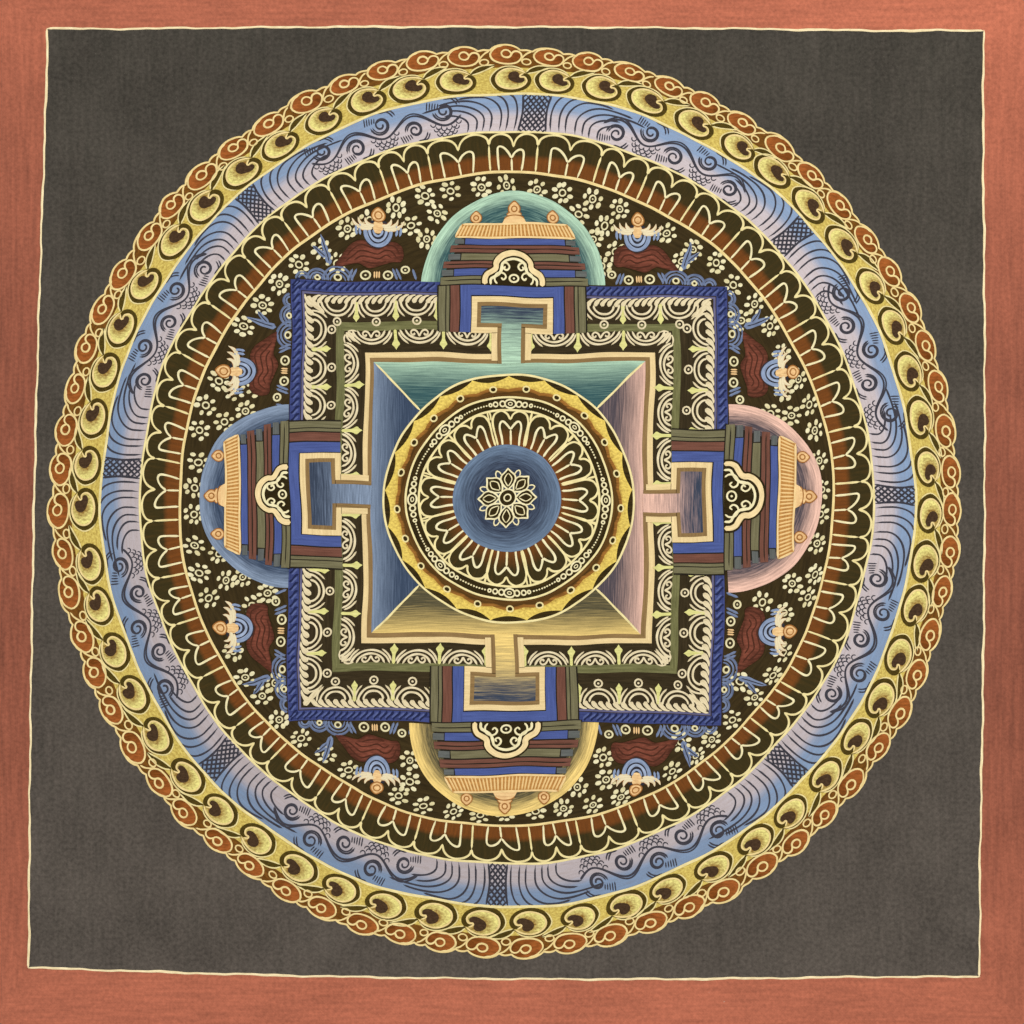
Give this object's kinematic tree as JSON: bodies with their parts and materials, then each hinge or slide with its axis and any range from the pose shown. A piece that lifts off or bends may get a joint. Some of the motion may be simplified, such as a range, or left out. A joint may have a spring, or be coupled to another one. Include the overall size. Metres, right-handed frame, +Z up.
{
  "type": "painted mandala canvas",
  "caption": "Square sheet of primed cotton painted with a traditional mandala inside a plain border, unmounted and lying flat, face up.",
  "frame": {"origin": "on the surface that the sheet rests on, under the middle of its outline", "axes": "+Z up out of the painted face, +Y towards the top edge of the painting, +X to its right"},
  "size_m": [0.4298, 0.43, 0.0062],
  "materials": {
    "painted_cotton": "matt mineral paint on primed cotton, brick red border and charcoal ground, with fine brush streaks and the weave showing faintly"
  },
  "bodies": {
    "root": {"painted_canvas": "painted_cotton"}
  },
  "joints": []
}
